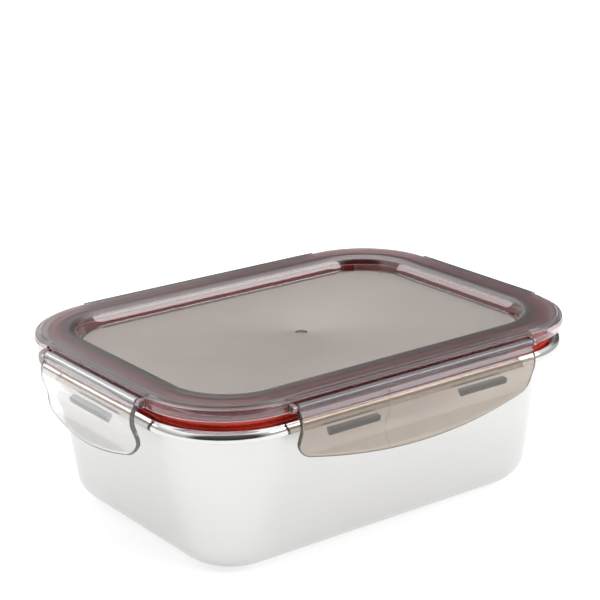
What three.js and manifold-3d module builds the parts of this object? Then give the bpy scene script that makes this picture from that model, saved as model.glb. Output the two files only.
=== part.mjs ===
// Rectangular lunch box: a drawn steel container, a clear plastic lid with a silicone seal,
// and four clip latches, each turning on a steel pin along one edge of the lid.
// Units are millimetres, +Z is up, X runs along the long side, and the origin is at the
// middle of the container's base. "Inset" is the distance inwards from the lid's outline.

import * as THREE from 'three';
import { ParametricGeometry } from 'three/addons/geometries/ParametricGeometry.js';
import { mergeVertices } from 'three/addons/utils/BufferGeometryUtils.js';
import Module from 'manifold-3d';

const wasm = await Module();
wasm.setup();

// Overall outline of the lid
const LENGTH = 199.2;
const WIDTH = 147.7;
const OUTLINE_RADIUS = 36;
const RADIUS_PER_INSET = 0.75;
const CORNER_DIVISIONS = 4;
const GAP = 0.3;

// Container
const STEEL = 0.7;
const BASE_FILLET = 11;
const WALL_TOP_Z = 57.6;
const WALL_TOP_INSET = 6.1;
const WALL_LOW_Z = 11;
const WALL_LOW_INSET = 13.7;
const WALL_TOP_RADIUS = 38;
const WALL_LOW_RADIUS = 25.5;
const RIM_INSET = 0.4;
const RIM_TOP_Z = 64.7;
const RIM_LOW_Z = 60.2;
const RIM_ROUND = 0.5;
const SHOULDER_FILLET = 1.6;

// Lid
const PANEL_Z = 67.9;
const PANEL_THICKNESS = 2;
const CROWN_Z = 74.8;
const SKIRT_Z = 68.8;
const RIB_Z = 68.4;
const RECESS_INSET = 17.3;
const NOTCH_INSET = 1;
const GATE_RADIUS = 2.6;
const GATE_DEPTH = 0.4;

// Seal
const SEAL_LOW_Z = RIM_LOW_Z + STEEL + GAP;
const SEAL_TOP_Z = 72.3;

// Hinges, in the section across a side: "out" is the distance outwards from the lid's outline
const HINGE_OUT = 1.2;
const HINGE_Z = 70.9;
const BARREL_RADIUS = 1.6;
const LUG_RADIUS = 1.7;
const LUG_THICKNESS = 2.4;
const PIN_RADIUS = 0.8;
const BORE_RADIUS = PIN_RADIUS + GAP;
const LATCH_THICKNESS = 2.2;
const LATCH_LOW_Z = 44.8;
const LATCH_CORNER = 4.5;

// Hooks on the inside of the latches
const HOOK_TOP_Z = 59.8;
const HOOK_TIP_OUT = GAP - RIM_INSET;
const HOOK_DEPTH = 2.5;

// One entry for each side: angle turns the side from the front (-Y) to its place
const LONG_SIDE = { reach: WIDTH / 2, half: 58.5, bow: 250, hooks: [[-44.6, -20.4], [20.4, 44.6]] };
const SHORT_SIDE = { reach: LENGTH / 2, half: 33.7, bow: 110, hooks: [[-14, 14]] };
const SIDES = [
  { name: 'front', angle: 0, ...LONG_SIDE },
  { name: 'right', angle: Math.PI / 2, ...SHORT_SIDE },
  { name: 'back', angle: Math.PI, ...LONG_SIDE },
  { name: 'left', angle: -Math.PI / 2, ...SHORT_SIDE },
];

// ---------- solids ----------

// Closed manifold solid of a three.js geometry, without its seams and collapsed triangles
function solidOf(geometry) {
  const bare = geometry.index ? geometry.toNonIndexed() : geometry.clone();
  bare.deleteAttribute('normal');
  bare.deleteAttribute('uv');
  const merged = mergeVertices(bare, 1e-4);
  const index = merged.index.array;
  const kept = [];
  for (let i = 0; i < index.length; i += 3) {
    const [a, b, c] = index.slice(i, i + 3);
    if (a !== b && b !== c && c !== a) kept.push(a, b, c);
  }
  return new wasm.Manifold(new wasm.Mesh({
    numProp: 3,
    vertProperties: new Float32Array(merged.attributes.position.array),
    triVerts: new Uint32Array(kept),
  }));
}

function meshOf(name, solid, material) {
  const { vertProperties, triVerts } = solid.getMesh();
  const geometry = new THREE.BufferGeometry();
  geometry.setAttribute('position', new THREE.BufferAttribute(new Float32Array(vertProperties), 3));
  geometry.setIndex(new THREE.BufferAttribute(new Uint32Array(triVerts), 1));
  geometry.computeVertexNormals();
  const mesh = new THREE.Mesh(geometry, material);
  mesh.name = name;
  return mesh;
}

function roundedRectangle(length, width, radius) {
  const shape = new THREE.Shape();
  const x = length / 2 - radius;
  const y = width / 2 - radius;
  shape.absarc(x, y, radius, 0, Math.PI / 2);
  shape.absarc(-x, y, radius, Math.PI / 2, Math.PI);
  shape.absarc(-x, -y, radius, Math.PI, 1.5 * Math.PI);
  shape.absarc(x, -y, radius, 1.5 * Math.PI, 2 * Math.PI);
  return shape;
}

// Station of a section that follows the lid's outline
function stationAt(inset, z) {
  return { inset, z, radius: OUTLINE_RADIUS - RADIUS_PER_INSET * inset };
}

// Station on the vertical axis, where a floor or panel closes
function axisAt(z) {
  return { ...stationAt(0, z), spread: 0 };
}

// Ring of points at one station; with no spread they all fall on the vertical axis
function ringAt({ inset, z, radius, spread = 1 }) {
  const outline = roundedRectangle(LENGTH - 2 * inset, WIDTH - 2 * inset, radius);
  return outline.getPoints(CORNER_DIVISIONS).map((p) => new THREE.Vector3(p.x * spread, p.y * spread, z));
}

// Sweep of a section round the box, from its lower end on the axis to its upper end
function sweptSolid(stations) {
  const rings = stations.map(ringAt);
  const around = rings[0].length;
  const surface = (u, v, target) => {
    const ring = rings[Math.round(v * (rings.length - 1))];
    target.copy(ring[Math.round(u * around) % around]);
  };
  return solidOf(new ParametricGeometry(surface, around, rings.length - 1));
}

// Extrusion along X of a section given as [out, z] points, placed on the front side
function extrudedSection(points, reach, from, to) {
  const shape = new THREE.Shape(points.map(([out, z]) => new THREE.Vector2(-(reach + out), z)));
  const geometry = new THREE.ExtrudeGeometry(shape, { depth: to - from, bevelEnabled: false });
  // section x -> Y, section y -> Z, extrusion -> X
  geometry.applyMatrix4(new THREE.Matrix4().set(0, 0, 1, from, 1, 0, 0, 0, 0, 1, 0, 0, 0, 0, 0, 1));
  return solidOf(geometry);
}

function cylinderAlongX(radius, from, to, reach, sides = 20) {
  const geometry = new THREE.CylinderGeometry(radius, radius, to - from, sides);
  geometry.rotateZ(Math.PI / 2);
  geometry.translate((from + to) / 2, -(reach + HINGE_OUT), HINGE_Z);
  return solidOf(geometry);
}

function boxSolid(min, max) {
  const size = new THREE.Vector3().subVectors(max, min);
  const middle = new THREE.Vector3().addVectors(min, max).multiplyScalar(0.5);
  return solidOf(new THREE.BoxGeometry(...size).translate(...middle));
}

function turned(solid, angle) {
  return solid.rotate([0, 0, THREE.MathUtils.radToDeg(angle)]);
}

// ---------- container ----------

// Inset and corner radius of the tapered wall at a height
function wallAt(z, offset = 0) {
  const t = (z - WALL_LOW_Z) / (WALL_TOP_Z - WALL_LOW_Z);
  const inset = THREE.MathUtils.lerp(WALL_LOW_INSET, WALL_TOP_INSET, t);
  const radius = THREE.MathUtils.lerp(WALL_LOW_RADIUS, WALL_TOP_RADIUS, t);
  return { inset: inset + offset, radius: radius - offset, z };
}

// Quarter round between the flat base and the wall, from the base upwards
function baseFillet(radius, floorZ, offset) {
  const steps = 5;
  return Array.from({ length: steps + 1 }, (_, i) => {
    const angle = (Math.PI / 2) * (i / steps);
    const z = floorZ + radius * (1 - Math.cos(angle));
    return wallAt(z, offset + radius * (1 - Math.sin(angle)));
  });
}

function containerSolid() {
  const ledgeZ = RIM_LOW_Z + STEEL;
  const bandInner = RIM_INSET + STEEL;
  const shoulder = wallAt(RIM_LOW_Z - SHOULDER_FILLET);
  const underside = wallAt(RIM_LOW_Z, -SHOULDER_FILLET);
  const outer = [
    axisAt(0),
    ...baseFillet(BASE_FILLET, 0, 0),
    wallAt(WALL_LOW_Z + 24),
    shoulder,
    wallAt(RIM_LOW_Z - SHOULDER_FILLET * 0.3, -SHOULDER_FILLET * 0.3),
    underside,
    stationAt(RIM_INSET + RIM_ROUND, RIM_LOW_Z),
    stationAt(RIM_INSET, RIM_LOW_Z + RIM_ROUND),
    stationAt(RIM_INSET, RIM_TOP_Z - RIM_ROUND),
    stationAt(RIM_INSET + STEEL / 2, RIM_TOP_Z),
  ];
  const inner = [
    stationAt(bandInner, RIM_TOP_Z - RIM_ROUND),
    stationAt(bandInner, ledgeZ + RIM_ROUND),
    stationAt(bandInner + RIM_ROUND, ledgeZ),
    wallAt(ledgeZ, STEEL - RIM_ROUND),
    wallAt(ledgeZ - RIM_ROUND, STEEL),
    wallAt(WALL_LOW_Z + 24, STEEL),
    ...baseFillet(BASE_FILLET - STEEL, STEEL, STEEL).reverse(),
    axisAt(STEEL),
  ];
  return sweptSolid([...outer, ...inner]);
}

// ---------- lid ----------

function lidShellSolid() {
  const panelUnder = PANEL_Z - PANEL_THICKNESS;
  const crownUnder = CROWN_Z - 2.1;
  const underside = [
    axisAt(panelUnder),
    stationAt(RECESS_INSET, panelUnder),
    stationAt(RECESS_INSET - 0.1, panelUnder - 1.1),
    stationAt(RECESS_INSET - 1.8, panelUnder - 1.1),
    stationAt(14.2, 71.2),
    stationAt(13.4, 72.2),
    stationAt(10.6, crownUnder),
    stationAt(10.6, RIB_Z),
    stationAt(9.3, RIB_Z),
    stationAt(9.3, crownUnder),
    stationAt(6.9, crownUnder),
    stationAt(6.9, RIB_Z),
    stationAt(5.6, RIB_Z),
    stationAt(5.6, crownUnder),
    stationAt(3.1, 72.5),
    stationAt(2.5, 71.8),
    stationAt(2.5, SKIRT_Z),
  ];
  const topside = [
    stationAt(0.8, SKIRT_Z),
    stationAt(0.5, SKIRT_Z + 0.3),
    stationAt(0.5, 71.3),
    stationAt(0, 71.6),
    stationAt(0, 72.7),
    stationAt(0.4, 73.3),
    stationAt(1.2, 73.6),
    stationAt(2.1, 73.5),
    stationAt(2.4, 74.1),
    stationAt(3.2, 74.55),
    stationAt(5.2, 74.75),
    stationAt(8.5, CROWN_Z),
    stationAt(11.5, 74.65),
    stationAt(14, 74.3),
    stationAt(15.2, 73.7),
    stationAt(15.8, 72.8),
    stationAt(17, 69.2),
    stationAt(17.5, 68.4),
    stationAt(18.3, PANEL_Z),
    axisAt(PANEL_Z),
  ];
  return sweptSolid([...underside, ...topside]);
}

// Pocket in the lid's edge that a latch sits in
function notchSolid(side) {
  const half = side.half + GAP * 2 + LUG_THICKNESS + GAP;
  return boxSolid(
    new THREE.Vector3(-half, -(side.reach + 5), SKIRT_Z - 5),
    new THREE.Vector3(half, -(side.reach - NOTCH_INSET), CROWN_Z + 1),
  );
}

// Lug that holds one end of a hinge pin, from its root in the lid's edge to its round boss
function lugSolid(side, from, to) {
  const root = -2 * NOTCH_INSET;
  const low = HINGE_Z - LUG_RADIUS;
  const high = HINGE_Z + LUG_RADIUS;
  const web = extrudedSection(
    [[root, low], [HINGE_OUT, low], [HINGE_OUT, high], [root, high]],
    side.reach,
    from,
    to,
  );
  const boss = cylinderAlongX(LUG_RADIUS, from, to, side.reach);
  return web.add(boss).subtract(cylinderAlongX(BORE_RADIUS, from - 1, to + 1, side.reach));
}

function gateMarkSolid() {
  const geometry = new THREE.CylinderGeometry(GATE_RADIUS, GATE_RADIUS * 0.6, GATE_DEPTH * 2, 20);
  return solidOf(geometry.rotateX(Math.PI / 2).translate(0, 0, PANEL_Z));
}

function lidSolid() {
  let lid = lidShellSolid().subtract(gateMarkSolid());
  for (const side of SIDES) {
    const near = side.half + GAP * 2;
    const far = near + LUG_THICKNESS;
    lid = lid.subtract(turned(notchSolid(side), side.angle));
    lid = lid.add(turned(lugSolid(side, near, far), side.angle));
    lid = lid.add(turned(lugSolid(side, -far, -near), side.angle));
  }
  return lid;
}

// ---------- seal ----------

// Ring with a stem held between the lid's two ribs and a wide foot over the container's ledge.
// Its section is a closed loop of stations
function sealSolid() {
  const footTop = RIB_Z - GAP;
  const section = [
    stationAt(5.6, SEAL_LOW_Z),
    stationAt(5.2, SEAL_LOW_Z + 0.5),
    stationAt(5.2, 64.4),
    stationAt(5.8, 64.8),
    stationAt(5.2, 65.2),
    stationAt(5.2, footTop - 0.5),
    stationAt(5.6, footTop),
    stationAt(7.2, footTop),
    stationAt(7.2, SEAL_TOP_Z),
    stationAt(9, SEAL_TOP_Z),
    stationAt(9, footTop),
    stationAt(10.6, footTop),
    stationAt(11, footTop - 0.5),
    stationAt(11, SEAL_LOW_Z + 2),
    stationAt(9.4, SEAL_LOW_Z),
  ];
  return sweptSolid([...section, section[0]]);
}

// ---------- latches ----------

// Middle line of a latch in the section across a side: hinge, outward belly, waist and finger lip
function latchCurve() {
  const points = [
    [1.7, 70.4], [1.95, 69.5], [2.9, 67.8], [3.7, 65.9], [3.95, 64], [3.7, 61.8], [2.9, 59.5],
    [2.1, 57.3], [1.65, 55.6], [1.55, 54], [1.8, 52.2], [2.6, 49.6], [3.7, 47], [4.8, LATCH_LOW_Z],
  ];
  return new THREE.SplineCurve(points.map(([out, z]) => new THREE.Vector2(out, z)));
}

function latchSection() {
  const steps = 20;
  const curve = latchCurve();
  const sideLine = (sign) => Array.from({ length: steps + 1 }, (_, i) => {
    const point = curve.getPoint(i / steps);
    const tangent = curve.getTangent(i / steps);
    const half = (LATCH_THICKNESS / 2) * (1 - 0.2 * (i / steps));
    return [point.x - sign * tangent.y * half, point.y + sign * tangent.x * half];
  });
  return [...sideLine(1), ...sideLine(-1).reverse()];
}

// Front view of a latch: straight ends, rounded lower corners and a long curved lower edge
function latchOutlineSolid(side) {
  const { half, bow, reach } = side;
  const centreZ = LATCH_LOW_Z + bow;
  const cornerX = half - LATCH_CORNER;
  const arcAngle = Math.asin(cornerX / bow);
  const cornerZ = centreZ - Math.sqrt(bow ** 2 - half ** 2);
  const shape = new THREE.Shape();
  shape.moveTo(half, HINGE_Z + 5);
  shape.lineTo(-half, HINGE_Z + 5);
  shape.lineTo(-half, cornerZ + LATCH_CORNER);
  shape.quadraticCurveTo(-half, cornerZ, -cornerX, centreZ - bow * Math.cos(arcAngle));
  shape.absarc(0, centreZ, bow, 1.5 * Math.PI - arcAngle, 1.5 * Math.PI + arcAngle);
  shape.quadraticCurveTo(half, cornerZ, half, cornerZ + LATCH_CORNER);
  const geometry = new THREE.ExtrudeGeometry(shape, { depth: 20, bevelEnabled: false, curveSegments: 6 });
  geometry.rotateX(Math.PI / 2);
  return solidOf(geometry.translate(0, -(reach - 5), 0));
}

// Wedge that catches under the container's rim, with a flat top and a sloping lower face
function hookSolid(side, [from, to]) {
  const section = [
    [2.4, HOOK_TOP_Z - HOOK_DEPTH],
    [2.4, HOOK_TOP_Z],
    [HOOK_TIP_OUT, HOOK_TOP_Z],
    [HOOK_TIP_OUT, HOOK_TOP_Z - 0.7],
    [1.4, HOOK_TOP_Z - HOOK_DEPTH],
  ];
  return extrudedSection(section, side.reach, from, to);
}

function latchSolid(side) {
  const { half, reach } = side;
  let latch = extrudedSection(latchSection(), reach, -half, half);
  latch = latch.add(cylinderAlongX(BARREL_RADIUS, -half, half, reach));
  latch = latch.intersect(latchOutlineSolid(side));
  latch = latch.subtract(cylinderAlongX(BORE_RADIUS, -half - 1, half + 1, reach));
  for (const span of side.hooks) latch = latch.add(hookSolid(side, span));
  return turned(latch, side.angle);
}

function pinSolid(side) {
  const half = side.half + GAP * 2 + LUG_THICKNESS - GAP;
  return turned(cylinderAlongX(PIN_RADIUS, -half, half, side.reach, 12), side.angle);
}

// ---------- assembly ----------

const brushedSteel = new THREE.MeshStandardMaterial({ color: 0xd9d8d6, roughness: 0.35, metalness: 1 });
const smokedPlastic = new THREE.MeshStandardMaterial({ color: 0x8f8286, roughness: 0.15, metalness: 0 });
const redSilicone = new THREE.MeshStandardMaterial({ color: 0xb01c16, roughness: 0.5, metalness: 0 });
const clearPlastic = new THREE.MeshStandardMaterial({ color: 0xbdb4ad, roughness: 0.15, metalness: 0 });
const pinSteel = new THREE.MeshStandardMaterial({ color: 0xb9bbbd, roughness: 0.2, metalness: 1 });

const lunchBox = new THREE.Group();
lunchBox.add(meshOf('container', containerSolid(), brushedSteel));
lunchBox.add(meshOf('lid', lidSolid(), smokedPlastic));
lunchBox.add(meshOf('gasket', sealSolid(), redSilicone));
for (const side of SIDES) {
  lunchBox.add(meshOf(`latch_${side.name}`, latchSolid(side), clearPlastic.clone()));
  lunchBox.add(meshOf(`hinge_pin_${side.name}`, pinSolid(side), pinSteel.clone()));
}

export default lunchBox;
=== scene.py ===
"""A steel lunch box with a tinted clip lid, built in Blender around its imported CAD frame.

Sections are in millimetres: inset is the distance inwards from the lid's outline, out the
distance outwards from it, and z the height above the table. Meshes are in metres.
"""

import math

import bmesh
import bpy
from mathutils import Matrix, Vector


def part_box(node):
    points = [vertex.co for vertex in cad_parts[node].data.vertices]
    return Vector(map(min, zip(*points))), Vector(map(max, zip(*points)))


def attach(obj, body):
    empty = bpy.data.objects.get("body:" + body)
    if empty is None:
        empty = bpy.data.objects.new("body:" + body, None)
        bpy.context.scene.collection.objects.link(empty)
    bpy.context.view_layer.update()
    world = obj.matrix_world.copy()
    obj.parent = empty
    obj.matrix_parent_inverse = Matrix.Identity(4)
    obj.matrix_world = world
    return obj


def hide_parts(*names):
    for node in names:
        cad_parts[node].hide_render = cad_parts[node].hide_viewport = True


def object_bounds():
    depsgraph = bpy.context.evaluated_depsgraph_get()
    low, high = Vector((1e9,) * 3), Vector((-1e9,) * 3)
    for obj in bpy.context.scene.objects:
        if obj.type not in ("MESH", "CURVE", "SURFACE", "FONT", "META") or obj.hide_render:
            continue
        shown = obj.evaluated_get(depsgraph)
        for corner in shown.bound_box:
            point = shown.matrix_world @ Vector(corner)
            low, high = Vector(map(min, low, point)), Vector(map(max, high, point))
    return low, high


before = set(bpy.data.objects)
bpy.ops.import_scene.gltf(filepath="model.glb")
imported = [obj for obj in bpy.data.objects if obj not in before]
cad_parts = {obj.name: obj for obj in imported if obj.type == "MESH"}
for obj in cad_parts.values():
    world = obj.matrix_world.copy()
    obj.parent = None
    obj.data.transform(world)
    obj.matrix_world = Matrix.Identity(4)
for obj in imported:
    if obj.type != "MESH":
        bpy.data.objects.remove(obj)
cad_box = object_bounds()

MM = 0.001
SHARP_ANGLE = math.radians(40)

# Outline, from the container's rim and the lid's crown
RIM_INSET = 0.4
rim_low, rim_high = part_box("container")
LENGTH = (rim_high.x - rim_low.x) / MM + 2 * RIM_INSET
WIDTH = (rim_high.y - rim_low.y) / MM + 2 * RIM_INSET
RIM_TOP = rim_high.z / MM
CROWN_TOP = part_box("lid")[1].z / MM
OUTLINE_RADIUS = 36.0
RADIUS_PER_INSET = 0.75
CORNER_STEPS = 24

# Container, with its upright rim bulging as an arc; the ends of its tapered wall are
# (inset, z, corner radius)
STEEL = 0.7
RIM_LOW = RIM_TOP - 4.5
RIM_BULGE = 4.5
RIM_LEANS = [math.radians(lean) for lean in range(-10, 41, 5)]
SHOULDER_Z = 57.0
BASE_FILLET = 11.0
WALL_TOP = Vector((6.1, 57.6, 38.0))
WALL_FOOT = Vector((13.7, 11.0, 25.5))

# Lid, with a pocket behind each latch
PANEL_EDGE = 18.0
PANEL_TOP = CROWN_TOP - 6.9
PANEL_UNDER = PANEL_TOP - 2.0
SKIRT_LOW = CROWN_TOP - 6.0
RIB_LOW = CROWN_TOP - 6.4
CROWN_UNDER = CROWN_TOP - 2.1
RIBS_FROM = 2.5
RIBS_TO = 13.5
STEP_INSET = 2.7
STEP_LOW = CROWN_TOP - 1.5
POCKET_INSET = 1.0
POCKET_TOP = CROWN_TOP - 0.35
POCKET_ROUND = 0.6
GATE_RADIUS = 2.75

# Hinges and latches; a latch's barrel is an arc open towards its body, in degrees
HINGE_OUT = 1.2
HINGE_Z = 70.9
BARREL_RADIUS = 1.6
BORE_RADIUS = 0.95
PIN_RADIUS = 0.8
LUG_RADIUS = 1.7
LUG_THICKNESS = 2.4
LUG_ROOT = -2.0
LUG_EDGE = 0.3
LUG_STEPS = 16
BORE_DEPTH = 1.8
END_GAP = 0.6
LATCH_LOW = 44.8
LATCH_CORNER = 5.0
LATCH_HALF_THICKNESS = 1.1
LATCH_STEPS = 40
BARREL_STEPS = 24
BARREL_FROM = 215
BARREL_TO = -15
NOTCH_DEPTH = 0.45
NOTCH_DROP = 0.12
EDGE_ROUND = 0.45
SEAM_HALF = 0.2
SEAM_RISE = 0.08
HOOK_TOP = 59.8
BAND_LOW = 65.2
BAND_TOP = 66.6

# A long and a short side: distance of the outline from the middle, half the latch's length, the
# radius of its lower edge, its mould lines and its hooks' ends
LONG = {
    "reach": WIDTH / 2, "half": 58.5, "bow": 250.0, "seams": (-16.8,),
    "hooks": ((-44.6, -20.4), (20.4, 44.6)),
}
SHORT = {"reach": LENGTH / 2, "half": 33.7, "bow": 110.0, "seams": (), "hooks": ((-14.0, 14.0),)}
SIDES = {
    "front": (LONG, 0.0),
    "right": (SHORT, math.pi / 2),
    "back": (LONG, math.pi),
    "left": (SHORT, -math.pi / 2),
}


# ---------- sections ----------

def rounded(points, closed=False, steps=4):
    """Line through (x, y, radius) points, each turned into a small curve of about that radius."""
    corners = [(Vector(p[:2]), p[2]) for p in points]
    count = len(corners)
    line = []
    for i, (corner, radius) in enumerate(corners):
        if not closed and i in (0, count - 1):
            line.append(corner)
            continue
        back = corners[i - 1][0] - corner
        ahead = corners[(i + 1) % count][0] - corner
        setback = min(radius, back.length * 0.48, ahead.length * 0.48)
        start = corner + back.normalized() * setback
        end = corner + ahead.normalized() * setback
        for step in range(steps + 1):
            t = step / steps
            line.append(start * (1 - t) ** 2 + corner * (2 * t * (1 - t)) + end * t ** 2)
    return line


def wall_at(z, offset=0.0):
    """(inset, z, corner radius) of the container's wall."""
    wall = WALL_FOOT.lerp(WALL_TOP, (z - WALL_FOOT.y) / (WALL_TOP.y - WALL_FOOT.y))
    return Vector((wall.x + offset, z, wall.z - offset))


def base_fillet(radius, floor, offset, steps=16):
    """Quarter round from the flat base up to the wall."""
    angles = [math.pi / 2 * i / steps for i in range(steps + 1)]
    return [
        wall_at(floor + radius * (1 - math.cos(a)), offset + radius * (1 - math.sin(a)))
        for a in angles
    ]


def lid_stations(points):
    """(inset, z, corner radius) stations that follow the lid's outline."""
    return [Vector((p.x, p.y, OUTLINE_RADIUS - RADIUS_PER_INSET * p.x)) for p in points]


# ---------- meshes ----------

def pocket_end(side):
    """Where the latch's pocket ends, inside the lug."""
    return side["half"] + END_GAP + LUG_THICKNESS - 0.5


def pocket_share(side, place):
    """1 along the latch's pocket, falling to 0 at its rounded ends."""
    end = pocket_end(side)
    t = max(0.0, min(1.0, (end + POCKET_ROUND - abs(place)) / POCKET_ROUND))
    return t * t * (3 - 2 * t)


def straight_places(side):
    """Places of a ring's points along a straight side, from its middle at 0."""
    end = pocket_end(side)
    ends = [end + POCKET_ROUND * k / 5 for k in range(6)]
    inner = [end * k / 8 for k in range(-7, 8)]
    return [-p for p in reversed(ends)] + inner + ends


def outline(inset, z, radius, pocket=0.0, lift=0.0):
    """Ring of points round the box. pocket and lift move the stretch behind each latch."""
    centre = Vector((LENGTH / 2 - inset - radius, WIDTH / 2 - inset - radius))
    ring = []
    for corner, (sx, sy) in enumerate(((1, 1), (-1, 1), (-1, -1), (1, -1))):
        for i in range(CORNER_STEPS + 1):
            angle = math.pi / 2 * (corner + i / CORNER_STEPS)
            outward = Vector((math.cos(angle), math.sin(angle), 0))
            ring.append(Vector((sx * centre.x, sy * centre.y, z)) + outward * radius)
        side, straight = ((LONG, centre.x), (SHORT, centre.y))[corner % 2]
        full = (LENGTH if side is LONG else WIDTH) / 2 - OUTLINE_RADIUS
        along = Vector((-outward.y, outward.x, 0))
        middle = ring[-1] + along * straight
        for place in straight_places(side):
            share = pocket_share(side, place)
            point = middle + along * (place / full * straight) - outward * pocket * share
            ring.append(point + Vector((0, 0, lift * share)))
    return ring


def circle(ring, radius, z):
    """The ring's points drawn in to a circle round the vertical axis."""
    return [Vector((p.x, p.y, 0)).normalized() * radius + Vector((0, 0, z)) for p in ring]


def loft(rings, closed=False):
    """Mesh through rings of points; a ring of one point closes an end."""
    mesh = bmesh.new()
    rows = [[mesh.verts.new(p) for p in ring] for ring in rings]
    pairs = list(zip(rows, rows[1:]))
    if closed:
        pairs.append((rows[-1], rows[0]))
    for a, b in pairs:
        count = max(len(a), len(b))
        for i in range(count):
            j = (i + 1) % count
            corners = [a[i % len(a)], a[j % len(a)], b[j % len(b)], b[i % len(b)]]
            mesh.faces.new(dict.fromkeys(corners))
    return mesh


def capped(mesh, first, last):
    """Closes a loft between two open rings with a face at each end."""
    mesh.verts.ensure_lookup_table()
    total = len(mesh.verts)
    mesh.faces.new(mesh.verts[:first])
    mesh.faces.new(mesh.verts[total - last:])
    return mesh


def smooth(data):
    """Shades a mesh smooth between its sharp edges."""
    data.shade_smooth()
    data.set_sharp_from_angle(angle=SHARP_ANGLE)


def make_object(name, mesh, materials):
    """Object of a mesh drawn in millimetres."""
    bmesh.ops.recalc_face_normals(mesh, faces=mesh.faces)
    bmesh.ops.scale(mesh, vec=(MM, MM, MM), verts=mesh.verts)
    data = bpy.data.meshes.new(name)
    mesh.to_mesh(data)
    mesh.free()
    smooth(data)
    for material in materials:
        data.materials.append(material)
    made = bpy.data.objects.new(name, data)
    bpy.context.scene.collection.objects.link(made)
    return made


def combine(target, cutter, operation):
    """Joins the cutter to the target or cuts it away, and removes the cutter."""
    modifier = target.modifiers.new(operation, "BOOLEAN")
    modifier.operation = operation
    modifier.solver = "MANIFOLD"
    modifier.object = cutter
    bpy.context.view_layer.update()
    result = bpy.data.meshes.new_from_object(
        target.evaluated_get(bpy.context.evaluated_depsgraph_get())
    )
    target.modifiers.remove(modifier)
    target.data = result
    smooth(target.data)
    bpy.data.objects.remove(cutter)


def turned(mesh, angle):
    bmesh.ops.rotate(mesh, matrix=Matrix.Rotation(angle, 3, "Z"), verts=mesh.verts)
    return mesh


def at_side(side, x, out, z):
    """Point in front of the front side; turned() takes it to the other sides."""
    return Vector((x, -(side["reach"] + out), z))


def rod(side, radius, half, end_round=0.0, sides=32):
    """Round bar along a hinge's axis."""
    places = [(-half, radius - end_round), (end_round - half, radius)]
    places += [(-x, r) for x, r in reversed(places)]
    rings = []
    for x, r in places:
        angles = [2 * math.pi * i / sides for i in range(sides)]
        rings.append([
            at_side(side, x, HINGE_OUT + r * math.cos(a), HINGE_Z + r * math.sin(a)) for a in angles
        ])
    return capped(loft(rings), sides, sides)


# ---------- materials ----------

class Finish:
    """A Principled material with fine detail from textures in the object's own space."""

    def __init__(self, name, **sockets):
        self.material = bpy.data.materials.new(name)
        self.material.use_nodes = True
        self.nodes = self.material.node_tree.nodes
        self.links = self.material.node_tree.links
        self.shader = self.nodes["Principled BSDF"]
        self.place = self.nodes.new("ShaderNodeTexCoord").outputs["Object"]
        for socket, value in sockets.items():
            self.shader.inputs[socket.replace("_", " ")].default_value = value

    def noise(self, scale, stretch=(1, 1, 1), detail=3.0):
        """Cloudy pattern; scale is in features per metre, stretch multiplies it along each axis."""
        mapping = self.nodes.new("ShaderNodeMapping")
        mapping.inputs["Scale"].default_value = stretch
        self.links.new(self.place, mapping.inputs["Vector"])
        texture = self.nodes.new("ShaderNodeTexNoise")
        texture.inputs["Scale"].default_value = scale
        texture.inputs["Detail"].default_value = detail
        self.links.new(mapping.outputs["Vector"], texture.inputs["Vector"])
        return texture.outputs["Fac"]

    def cloud(self, pattern):
        """A noise pattern spread out to run from 0 to 1."""
        return self.ranged(pattern, (0.3, 0.7), (0, 1))

    def height(self, low, high):
        """0 below the height low and 1 above high, in metres."""
        split = self.nodes.new("ShaderNodeSeparateXYZ")
        self.links.new(self.place, split.inputs["Vector"])
        return self.ranged(split.outputs["Z"], (low, high), (0, 1))

    def ranged(self, value, source, target):
        node = self.nodes.new("ShaderNodeMapRange")
        self.links.new(value, node.inputs["Value"])
        sockets = ("From Min", "From Max", "To Min", "To Max")
        for socket, number in zip(sockets, (*source, *target)):
            node.inputs[socket].default_value = number
        return node.outputs["Result"]

    def blend(self, factor, first, second):
        """Value between two numbers or sockets."""
        node = self.nodes.new("ShaderNodeMix")
        self.links.new(factor, node.inputs["Factor"])
        for socket, value in (("A", first), ("B", second)):
            if isinstance(value, (int, float)):
                node.inputs[socket].default_value = value
            else:
                self.links.new(value, node.inputs[socket])
        return node.outputs["Result"]

    def mixed(self, factor, first, second):
        """Colour between two colours or sockets."""
        node = self.nodes.new("ShaderNodeMix")
        node.data_type = "RGBA"
        self.links.new(factor, node.inputs["Factor"])
        inputs = [s for s in node.inputs if s.type == "RGBA"]
        for socket, value in zip(inputs, (first, second)):
            if isinstance(value, tuple):
                socket.default_value = (*value, 1)
            else:
                self.links.new(value, socket)
        return next(s for s in node.outputs if s.type == "RGBA")

    def colour(self, factor, first, second):
        self.links.new(self.mixed(factor, first, second), self.shader.inputs["Base Color"])

    def roughness(self, value):
        self.links.new(value, self.shader.inputs["Roughness"])

    def bump(self, height, distance, strength=1.0):
        node = self.nodes.new("ShaderNodeBump")
        node.inputs["Distance"].default_value = distance
        node.inputs["Strength"].default_value = strength
        self.links.new(height, node.inputs["Height"])
        self.links.new(node.outputs["Normal"], self.shader.inputs["Normal"])


def brushed_steel():
    """Satin drawn sheet with fine lines round the walls, and a polished rim."""
    finish = Finish("brushed_steel", Metallic=1.0)
    lines = finish.noise(55, stretch=(1, 1, 60), detail=6)
    smudges = finish.noise(28, detail=4)
    satin = finish.ranged(smudges, (0.3, 0.7), (0.27, 0.36))
    rim = finish.height((RIM_LOW - 1.2) * MM, RIM_LOW * MM)
    finish.colour(finish.cloud(lines), (0.645, 0.641, 0.635), (0.665, 0.662, 0.656))
    finish.roughness(finish.blend(rim, satin, 0.1))
    finish.bump(lines, 0.00002, 0.2)
    return finish.material


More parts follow.
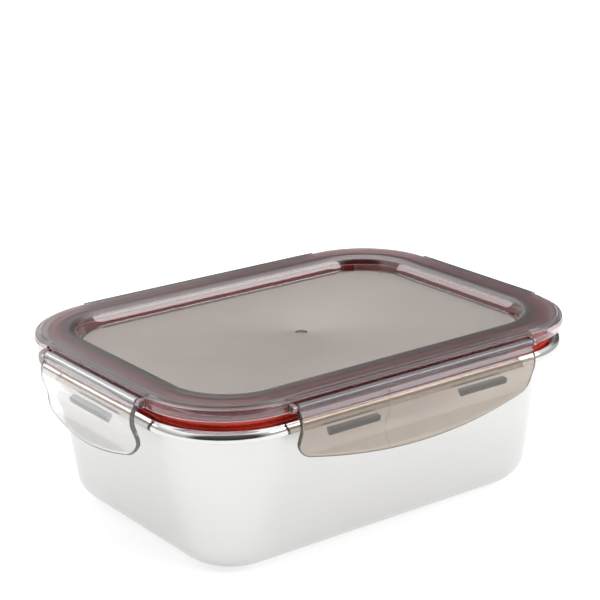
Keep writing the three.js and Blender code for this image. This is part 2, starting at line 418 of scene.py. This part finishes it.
def smoked_ribs():
    """The same plastic where the mould left it matt, on the hidden ribs."""
    finish = Finish("smoked_ribs", Transmission_Weight=1.0, IOR=1.49)
    grain = finish.noise(300)
    finish.colour(finish.cloud(grain), (0.6, 0.45, 0.47), (0.64, 0.49, 0.51))
    finish.roughness(finish.ranged(grain, (0.3, 0.7), (0.14, 0.2)))
    return finish.material


def smoked_gloss():
    """Smoky see-through plastic under a glossy skin, hazier round the crown's edges, where a
    darker, greyer tint is painted shade for the hollows seen through it.

    A pinker tint along the middle of the crown is painted light from the red seal below, shown as a
    soft stripe.
    """
    finish = Finish(
        "smoked_gloss", Transmission_Weight=1.0, IOR=1.49, Coat_Weight=1.0, Coat_Roughness=0.03,
    )
    cloud = finish.cloud(finish.noise(60))
    crown = finish.height((CROWN_TOP - 2.2) * MM, (CROWN_TOP - 1.2) * MM)
    # Painted light: a pink stripe on the crown's crest stands for the red seal seen through it
    stripe = finish.height((CROWN_TOP - 0.16) * MM, (CROWN_TOP - 0.05) * MM)
    wall = finish.mixed(cloud, (0.57, 0.42, 0.445), (0.6, 0.445, 0.47))
    # Painted shade: the crown gets a darker, greyer tint than the rest of the same plastic
    edges = finish.mixed(crown, wall, (0.5, 0.445, 0.445))
    finish.colour(stripe, edges, (0.79, 0.5, 0.53))
    finish.roughness(finish.blend(crown, 0.04, finish.ranged(cloud, (0, 1), (0.36, 0.4))))
    finish.bump(finish.noise(14, detail=1), 0.0003, 0.3)
    return finish.material


def smoked_panel():
    """The same plastic with the satin finish of the sunken panel."""
    finish = Finish("smoked_panel", Transmission_Weight=0.6, IOR=1.49)
    cloud = finish.cloud(finish.noise(60))
    finish.colour(cloud, (0.755, 0.695, 0.65), (0.775, 0.715, 0.67))
    finish.roughness(finish.ranged(cloud, (0, 1), (0.3, 0.36)))
    finish.bump(finish.noise(900, detail=2), 0.00002, 0.3)
    return finish.material


def red_silicone():
    """Soft red rubber with a dull moulded skin."""
    finish = Finish("red_silicone", Subsurface_Weight=0.15, Subsurface_Scale=0.002)
    finish.shader.inputs["Subsurface Radius"].default_value = (1.0, 0.15, 0.1)
    grain = finish.noise(1400, detail=2)
    finish.colour(finish.cloud(finish.noise(60)), (0.76, 0.035, 0.014), (0.86, 0.055, 0.02))
    finish.roughness(finish.ranged(grain, (0.3, 0.7), (0.24, 0.34)))
    finish.bump(grain, 0.00003, 0.2)
    return finish.material


def clip_plastic(name, shine, coat, top, band, body):
    """Milky see-through plastic, tinted in turn over the lid's edge, in a band below it and on. The
    tint over the lid's edge is painted light and shade on the barrel, given by each caller.
    """
    finish = Finish(
        name, Transmission_Weight=0.93, IOR=1.49, Specular_IOR_Level=shine, Coat_Weight=coat,
        Coat_Roughness=0.04,
    )
    flow = finish.cloud(finish.noise(50, detail=2))
    scuffs = finish.noise(420, stretch=(1, 1, 0.3), detail=5)
    worn = finish.mixed(flow, body, tuple(0.95 * c for c in body))
    lower = finish.mixed(finish.height(BAND_LOW * MM, (BAND_LOW + 0.8) * MM), worn, band)
    # Painted light and shade: the barrel over the lid's edge gets its own tint, top
    finish.colour(finish.height(BAND_TOP * MM, (BAND_TOP + 0.3) * MM), lower, top)
    finish.roughness(finish.ranged(scuffs, (0.45, 0.8), (0.05, 0.1)))
    finish.bump(finish.noise(25, detail=1), 0.0002, 0.2)
    return finish.material


def hook_plastic_painted_shade():
    """The latch's thick hooks, made nearly opaque and dark grey instead of clear: painted shade for
    the hooks in the shade behind the latch.
    """
    finish = Finish("hook_plastic_painted_shade", Transmission_Weight=0.1, IOR=1.49)
    cloud = finish.noise(90, detail=2)
    # Painted shade: dark grey colour for the hooks behind the latch
    finish.colour(finish.cloud(cloud), (0.05, 0.052, 0.05), (0.075, 0.077, 0.075))
    finish.roughness(finish.ranged(cloud, (0.3, 0.7), (0.35, 0.45)))
    finish.bump(cloud, 0.00005, 0.2)
    return finish.material


def pin_steel():
    """Bright drawn wire."""
    finish = Finish("pin_steel", Metallic=1.0)
    drawn = finish.noise(300, stretch=(0.05, 0.05, 1), detail=4)
    finish.colour(finish.cloud(drawn), (0.62, 0.62, 0.63), (0.74, 0.74, 0.75))
    finish.roughness(finish.ranged(drawn, (0.3, 0.7), (0.12, 0.25)))
    finish.bump(drawn, 0.00003, 0.3)
    return finish.material


def studio_paper():
    """White paper over a light table."""
    finish = Finish("studio_paper", Roughness=0.95, Emission_Strength=0.53)
    finish.shader.inputs["Emission Color"].default_value = (1, 1, 1, 1)
    fibres = finish.cloud(finish.noise(700))
    finish.colour(fibres, (0.74, 0.74, 0.74), (0.76, 0.76, 0.76))
    finish.shader.inputs["Specular IOR Level"].default_value = 0.1
    return finish.material


# ---------- pieces ----------

def make_container(material):
    ledge = RIM_LOW + STEEL
    band = RIM_INSET + STEEL
    shoulder = [wall_at(z) for z in (35, SHOULDER_Z - 1, SHOULDER_Z, RIM_LOW - 1.7)]
    flange = [(RIM_INSET + 0.7, RIM_LOW, 0.4)]
    for lean in RIM_LEANS:
        rise = RIM_BULGE * (math.sin(lean) - math.sin(RIM_LEANS[0]))
        flange.append((RIM_INSET + RIM_BULGE * (1 - math.cos(lean)), RIM_LOW + 0.3 + rise, 0.5))
    flange += [
        (RIM_INSET + 1.35, RIM_TOP, 0.25), (RIM_INSET + 1.8, RIM_TOP - 0.35, 0.3),
        (band + 0.6, RIM_TOP - 1.3, 0.4), (band + 0.2, RIM_TOP - 2.6, 0.4), (band, ledge, 0.6),
    ]
    under = wall_at(RIM_LOW)
    last = wall_at(SHOULDER_Z, STEEL)
    turn = rounded([
        (shoulder[-1].x, shoulder[-1].y, 0), (under.x, RIM_LOW, 1.7), *flange,
        (under.x + STEEL, ledge, 0.9), (last.x, last.y, 0),
    ])
    stations = base_fillet(BASE_FILLET, 0, 0) + shoulder
    for point in turn[1:-1]:
        share = min(1.0, max(0.0, (under.x - point.x) / (under.x - band)))
        near = wall_at(point.y, point.x - wall_at(point.y).x).z
        stations.append(Vector((point.x, point.y, near + (OUTLINE_RADIUS - near) * share)))
    stations += [last, wall_at(35, STEEL)]
    stations += reversed(base_fillet(BASE_FILLET - STEEL, STEEL, STEEL))
    rings = [outline(*station) for station in stations]
    mesh = loft([[Vector((0, 0, 0))], *rings, [Vector((0, 0, STEEL))]])
    made = make_object("steel_container", mesh, [material])
    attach(made, "container")
    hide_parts("container")


def lid_section():
    """Section of the lid from the middle of its underside round to the foot of its sunken wall."""
    return rounded([
        (30, PANEL_UNDER, 0), (17.3, PANEL_UNDER, 0.5), (17.2, PANEL_UNDER - 1.1, 0.3),
        (15.5, PANEL_UNDER - 1.1, 0.3), (14.2, CROWN_UNDER - 1.5, 1.2), (13.4, CROWN_UNDER, 0.8),
        (10.6, CROWN_UNDER, 0.3), (10.6, RIB_LOW, 0.25),
        (9.3, RIB_LOW, 0.25), (9.3, CROWN_UNDER, 0.3),
        (6.9, CROWN_UNDER, 0.3), (6.9, RIB_LOW, 0.25),
        (5.6, RIB_LOW, 0.25), (5.6, CROWN_UNDER, 0.3),
        (2.5, CROWN_UNDER, 0.8), (2.5, SKIRT_LOW, 0.3), (0.5, SKIRT_LOW, 0.35),
        (0.5, SKIRT_LOW + 2.4, 0.15), (0, SKIRT_LOW + 2.55, 0.3), (0, SKIRT_LOW + 2.9, 0.3),
        (0.65, CROWN_TOP - 1.35, 0.4), (2.1, CROWN_TOP - 1.3, 0.5), (2.7, CROWN_TOP - 0.15, 1.3),
        (8.5, CROWN_TOP, 3), (13.4, CROWN_TOP - 0.25, 3), (15, CROWN_TOP - 0.8, 0.9),
        (16.7, CROWN_TOP - 4.5, 1.2), (17.4, PANEL_TOP, 1.1), (20, PANEL_TOP, 0),
    ])


def make_lid(gloss, panel, ribs):
    # Behind each latch the wall is set back and the step below the crown is filled up
    stations = lid_stations(lid_section())
    rings = []
    for s in stations:
        on_step = s.x < STEP_INSET and STEP_LOW < s.y
        lift = max(0.0, POCKET_TOP - s.y) if on_step else 0.0
        rings.append(outline(*s, pocket=max(0.0, POCKET_INSET - s.x), lift=lift))
    inner = rings[-1]
    # Moulding gate mark, as (radius, depth)
    dimple = [
        (GATE_RADIUS, 0), (2.6, 0.1), (2.5, 1.1), (2.2, 1.2), (0.9, 1.15), (0.6, 0.6), (0.4, 0.5),
    ]
    gate = [circle(inner, radius, PANEL_TOP - depth) for radius, depth in dimple]
    gate_floor = Vector((0, 0, PANEL_TOP - dimple[-1][1]))
    mesh = loft([[Vector((0, 0, PANEL_UNDER))], *rings, *gate, [gate_floor]])
    edge = Vector((LENGTH / 2 - PANEL_EDGE, WIDTH / 2 - PANEL_EDGE))
    mesh.normal_update()
    hidden = [RIBS_FROM < s.x < RIBS_TO and s.y < CROWN_UNDER + 0.1 for s in stations]
    for index, face in enumerate(mesh.faces):
        middle = face.calc_center_median()
        flat = PANEL_UNDER - 0.5 < middle.z < PANEL_TOP + 0.3
        wall = middle.xy.length < GATE_RADIUS and abs(face.normal.z) < 0.7
        face.material_index = int(
            flat and abs(middle.x) < edge.x and abs(middle.y) < edge.y and not wall
        )
        row = index // len(inner) - 1
        if 0 <= row < len(stations) - 1 and hidden[row] and hidden[row + 1]:
            face.material_index = 2
    made = make_object("tinted_lid", mesh, [gloss, panel, ribs])
    combine(made, make_lugs(), "UNION")
    combine(made, make_bores(), "DIFFERENCE")
    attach(made, "lid")
    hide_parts("lid")


def joined(meshes):
    """One mesh of several separate solids."""
    whole = bmesh.new()
    for mesh in meshes:
        part = bpy.data.meshes.new("part")
        mesh.to_mesh(part)
        mesh.free()
        whole.from_mesh(part)
        bpy.data.meshes.remove(part)
    return whole


def lug_mesh(side, near, far):
    """Ear that holds one end of a hinge pin, with a round outer end."""
    rings = []
    for x, trim in (
        (near, LUG_EDGE), (near + LUG_EDGE, 0), (far - LUG_EDGE, 0), (far, LUG_EDGE),
    ):
        radius = LUG_RADIUS - trim
        points = [(LUG_ROOT, HINGE_Z - radius)]
        for i in range(LUG_STEPS + 1):
            angle = math.pi * (i / LUG_STEPS - 0.5)
            arm = Vector((math.cos(angle), math.sin(angle))) * radius
            points.append((HINGE_OUT + arm.x, HINGE_Z + arm.y))
        points.append((LUG_ROOT, HINGE_Z + radius))
        rings.append([at_side(side, x, out, z) for out, z in points])
    return capped(loft(rings), len(rings[0]), len(rings[0]))


def make_lugs():
    meshes = []
    for side, angle in SIDES.values():
        near = side["half"] + END_GAP
        far = near + LUG_THICKNESS
        meshes.append(turned(lug_mesh(side, near, far), angle))
        meshes.append(turned(lug_mesh(side, -far, -near), angle))
    return make_object("lugs", joined(meshes), [])


def make_bores():
    meshes = [
        turned(rod(side, BORE_RADIUS, side["half"] + END_GAP + BORE_DEPTH), angle)
        for side, angle in SIDES.values()
    ]
    return make_object("bores", joined(meshes), [])


def make_seal(material):
    """Ring with a stem between the lid's ribs and a grooved foot on the container's ledge."""
    foot_low = RIM_LOW + STEEL + 0.3
    foot_top = RIB_LOW - 0.3
    stem_top = CROWN_UNDER - 0.4
    section = rounded([
        (5.5, foot_low, 0.5), (4.9, foot_low + 1.2, 0.7), (4.9, foot_low + 3.1, 0.6),
        (5.9, foot_low + 3.6, 0.4), (5.1, foot_low + 4.2, 0.5), (5.1, foot_top, 0.6),
        (7.2, foot_top, 0.3), (7.2, stem_top, 0.5), (9, stem_top, 0.5), (9, foot_top, 0.3),
        (11, foot_top, 0.6), (11, foot_low + 2, 0.8), (9.4, foot_low, 0.8),
    ], closed=True)
    mesh = loft([outline(*s) for s in lid_stations(section)], closed=True)
    made = make_object("silicone_seal", mesh, [material])
    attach(made, "lid")
    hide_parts("gasket")


# Middle line of a latch from its hinge down: belly, waist and finger lip, as (out, z)
LATCH_LINE = (
    (1.7, 70.4), (1.95, 69.5), (2.9, 67.8), (3.7, 65.9), (3.95, 64), (3.7, 61.8), (2.9, 59.5),
    (2.1, 57.3), (1.65, 55.6), (1.55, 54), (1.8, 52.2), (2.6, 49.6), (3.7, 47), (4.8, LATCH_LOW),
)


# Steps of a latch's faces that lie inside its barrel and are left out
OUTER_FROM = 3
INNER_FROM = 5


def latch_line(t):
    """Point at t from 0 to 1 on a smooth curve through the latch's middle line."""
    last = len(LATCH_LINE) - 1
    k = min(int(t * last), last - 1)
    f = t * last - k
    a, b, c, d = (Vector(LATCH_LINE[max(0, min(last, k + i))]) for i in (-1, 0, 1, 2))
    square = 2 * a - 5 * b + 4 * c - d
    cube = 3 * b - a - 3 * c + d
    return 0.5 * (2 * b + (c - a) * f + square * f ** 2 + cube * f ** 3)


def line_end(z):
    """Where on the middle line its height falls to z."""
    low, high = 0.0, 1.0
    for _ in range(30):
        middle = (low + high) / 2
        low, high = (middle, high) if latch_line(middle).y > z else (low, middle)
    return low


def lower_edge(side, x):
    """Height of a latch's lower edge: a long bow with rounded corners."""
    bow = side["bow"]
    z = LATCH_LOW + bow - math.sqrt(bow ** 2 - x ** 2)
    depth = max(0.0, LATCH_CORNER - (side["half"] - abs(x)))
    return z + LATCH_CORNER - math.sqrt(LATCH_CORNER ** 2 - depth ** 2)


def latch_ring(side, x, trim):
    """Closed section of a latch at x: barrel, a fine notch, outer face, lip and inner face."""
    low = lower_edge(side, x) + trim
    end = line_end(low)
    outer, inner = [], []
    for i in range(LATCH_STEPS + 1):
        t = end * (1 - (1 - i / LATCH_STEPS) ** 1.5)
        point = latch_line(t)
        tangent = (latch_line(min(1, t + 0.01)) - latch_line(max(0, t - 0.01))).normalized()
        half = LATCH_HALF_THICKNESS * (1 - 0.2 * t) - trim
        short = max(0.0, half - (point.y - low))
        half = math.sqrt(max(1e-4, half ** 2 - short ** 2))
        normal = Vector((-tangent.y, tangent.x)) * half
        outer.append(point + normal)
        inner.append(point - normal)
    barrel = []
    for i in range(BARREL_STEPS + 1):
        angle = math.radians(BARREL_FROM + (BARREL_TO - BARREL_FROM) * i / BARREL_STEPS)
        arm = Vector((math.cos(angle), math.sin(angle))) * (BARREL_RADIUS - trim)
        barrel.append(Vector((HINGE_OUT, HINGE_Z)) + arm)
    notch = Vector((HINGE_OUT + BARREL_RADIUS - NOTCH_DEPTH, barrel[-1].y - NOTCH_DROP))
    ring = barrel + [notch] + outer[OUTER_FROM:] + list(reversed(inner[INNER_FROM:-1]))
    return [at_side(side, x, p.x, p.y) for p in ring]


def latch_mesh(side):
    """Latch as a loft along its length, with rounded ends and a fine raised mould line."""
    half = side["half"]
    places = {0.0: 0.0}
    for k in range(1, 21):
        places[half * k / 24] = 0.0
    for k in range(8):
        places[half - LATCH_CORNER * (1 - k / 8)] = 0.0
    for k in range(6):
        angle = math.pi / 2 * k / 5
        places[half - EDGE_ROUND * (1 - math.sin(angle))] = EDGE_ROUND * (1 - math.cos(angle))
    places.update({-x: trim for x, trim in list(places.items())})
    for seam in side["seams"]:
        places.update({seam + step * SEAM_HALF: 0.0 for step in (-2, -1, 1, 2)})
        places[seam] = -SEAM_RISE
    rings = [latch_ring(side, x, trim) for x, trim in sorted(places.items())]
    return capped(loft(rings), len(rings[0]), len(rings[0]))


def hook_mesh(side, span):
    """Wedge behind a latch, flat on top and sloping below."""
    low, high = span
    section = rounded([
        (2.35, HOOK_TOP - 2.5, 0.1), (2.45, HOOK_TOP, 0.1), (-0.1, HOOK_TOP, 0.15),
        (-0.1, HOOK_TOP - 0.8, 0.15), (1.4, HOOK_TOP - 2.5, 0.2),
    ], closed=True)
    centre = sum(section, Vector((0, 0))) / len(section)
    rings = []
    for x, share in ((low, 0.92), (low + 0.15, 1), (high - 0.15, 1), (high, 0.92)):
        rings.append([at_side(side, x, *(centre + (p - centre) * share)) for p in section])
    return capped(loft(rings), len(section), len(section))


def make_latch(name, clear, hook_material):
    side, angle = SIDES[name]
    body = f"{name}_latch"
    made = make_object(f"clear_latch_{name}", turned(latch_mesh(side), angle), [clear])
    bore = make_object("bore", turned(rod(side, BORE_RADIUS, side["half"] + 2), angle), [])
    combine(made, bore, "DIFFERENCE")
    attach(made, body)
    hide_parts(f"latch_{name}")
    for index, span in enumerate(side["hooks"], start=1):
        mesh = turned(hook_mesh(side, span), angle)
        hook = make_object(f"latch_hook_{name}_{index}", mesh, [hook_material])
        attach(hook, body)


def make_pin(name, material):
    side, angle = SIDES[name]
    half = side["half"] + END_GAP / 2 + BORE_DEPTH
    mesh = turned(rod(side, PIN_RADIUS, half, 0.2), angle)
    made = make_object(f"steel_pin_{name}", mesh, [material])
    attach(made, "lid")
    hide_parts(f"hinge_pin_{name}")


# ---------- studio ----------

ZENITH = 1.45
HORIZON = 0.6
NEAR_END = (-0.57, -0.763, 0.305)
FAR_END = (0.77, 0.56, 0.3)
FLOOR_HALF = 60.0

# Camera: angles in degrees, lens and sensor in millimetres, places in metres
CAMERA_ANGLES = (-36.73, 17.76, -0.66)
CAMERA_LENS = 106.96
CAMERA_SENSOR = 36.0
CAMERA_DISTANCE = 0.73681
CAMERA_ASIDE = -0.00041
CAMERA_AIM_Z = 0.08177


def make_floor(material):
    mesh = bmesh.new()
    bmesh.ops.create_grid(mesh, x_segments=8, y_segments=8, size=FLOOR_HALF)
    floor = bpy.data.objects.new("studio_floor", bpy.data.meshes.new("studio_floor"))
    mesh.to_mesh(floor.data)
    mesh.free()
    floor.data.materials.append(material)
    floor.location.z = cad_box[0].z - 0.0002
    bpy.context.scene.collection.objects.link(floor)


def make_world():
    """White sky over a studio whose two ends are dark near the horizon and whose sides are pale."""
    world = bpy.data.worlds.new("studio")
    world.use_nodes = True
    bpy.context.scene.world = world
    nodes, links = world.node_tree.nodes, world.node_tree.links
    direction = nodes.new("ShaderNodeTexCoord").outputs["Generated"]

    def ramp(value, *numbers):
        node = nodes.new("ShaderNodeMapRange")
        node.interpolation_type = "SMOOTHSTEP"
        links.new(value, node.inputs["Value"])
        for socket, number in zip(("From Min", "From Max", "To Min", "To Max"), numbers):
            node.inputs[socket].default_value = number
        return node.outputs["Result"]

    def shade(end, start, full, low):
        """1, falling to low near a direction; start and full are cosines of the angle from it."""
        toward = nodes.new("ShaderNodeVectorMath")
        toward.operation = "DOT_PRODUCT"
        links.new(direction, toward.inputs[0])
        toward.inputs[1].default_value = Vector(end).normalized()
        return ramp(toward.outputs["Value"], start, full, 1, low)

    split = nodes.new("ShaderNodeSeparateXYZ")
    links.new(direction, split.inputs["Vector"])
    sky = nodes.new("ShaderNodeMix")
    links.new(ramp(split.outputs["Z"], 0.2, 0.8, 0, 1), sky.inputs["Factor"])
    sky.inputs["A"].default_value = HORIZON
    sky.inputs["B"].default_value = ZENITH
    strength = sky.outputs["Result"]
    for dark in (shade(NEAR_END, 0.6, 0.84, 0.08), shade(FAR_END, 0.85, 0.97, 0.2)):
        product = nodes.new("ShaderNodeMath")
        product.operation = "MULTIPLY"
        links.new(strength, product.inputs[0])
        links.new(dark, product.inputs[1])
        strength = product.outputs["Value"]
    links.new(strength, nodes["Background"].inputs["Strength"])
    nodes["Background"].inputs["Color"].default_value = (1, 1, 1, 1)


def softbox(name, direction, distance, size, radiance):
    """Broad soft light that faces the middle of the box."""
    light = bpy.data.lights.new(name, "AREA")
    light.shape = "ELLIPSE"
    light.size, light.size_y = size
    light.energy = radiance * math.pi * size[0] * size[1]
    made = bpy.data.objects.new(name, light)
    aim = Vector(direction).normalized()
    made.location = aim * distance + Vector((0, 0, 0.06))
    made.rotation_euler = aim.to_track_quat("Z", "Y").to_euler()
    bpy.context.scene.collection.objects.link(made)


def make_camera():
    """Long lens above the near corner, aimed over the middle of the lid."""
    azimuth, elevation, roll = (math.radians(a) for a in CAMERA_ANGLES)
    back = Vector((
        math.sin(azimuth) * math.cos(elevation),
        -math.cos(azimuth) * math.cos(elevation),
        math.sin(elevation),
    ))
    level = Vector((math.cos(azimuth), math.sin(azimuth), 0))
    upright = back.cross(level)
    right = level * math.cos(roll) + upright * math.sin(roll)
    up = upright * math.cos(roll) - level * math.sin(roll)
    camera = bpy.data.cameras.new("camera")
    camera.sensor_width = CAMERA_SENSOR
    camera.lens = CAMERA_LENS
    made = bpy.data.objects.new("camera", camera)
    target = level * CAMERA_ASIDE + Vector((0, 0, CAMERA_AIM_Z))
    place = Matrix((right, up, back)).transposed().to_4x4()
    place.translation = target + back * CAMERA_DISTANCE
    made.matrix_world = place
    bpy.context.scene.collection.objects.link(made)
    bpy.context.scene.camera = made


make_container(brushed_steel())
make_lid(smoked_gloss(), smoked_panel(), smoked_ribs())
make_seal(red_silicone())
# Two copies of the same clear plastic, tinted apart. The darker, warmer copy on the long sides is
# painted shade, with a darker top. The paler copy on the short sides is painted light, with a
# whiter top as a painted highlight.
warm = clip_plastic(
    "painted_shade_clip_plastic", 0.3, 0.1,
    top=(0.45, 0.41, 0.43), band=(0.66, 0.555, 0.465), body=(0.6, 0.53, 0.465),
)
pale = clip_plastic(
    "painted_light_clip_plastic", 0.5, 0.6,
    top=(0.9, 0.9, 0.91), band=(0.82, 0.72, 0.62), body=(0.85, 0.84, 0.825),
)
hooks, wire = hook_plastic_painted_shade(), pin_steel()
for side_name, (side, _) in SIDES.items():
    make_latch(side_name, warm if side is LONG else pale, hooks)
    make_pin(side_name, wire)

make_floor(studio_paper())
make_world()
softbox("key", (0.54, -0.71, 0.45), 1.3, (1.0, 0.4), 3.4)
softbox("fill", (-0.58, 0.745, 0.33), 1.3, (0.7, 0.28), 2.3)
make_camera()
bpy.context.scene.view_settings.view_transform = "Standard"
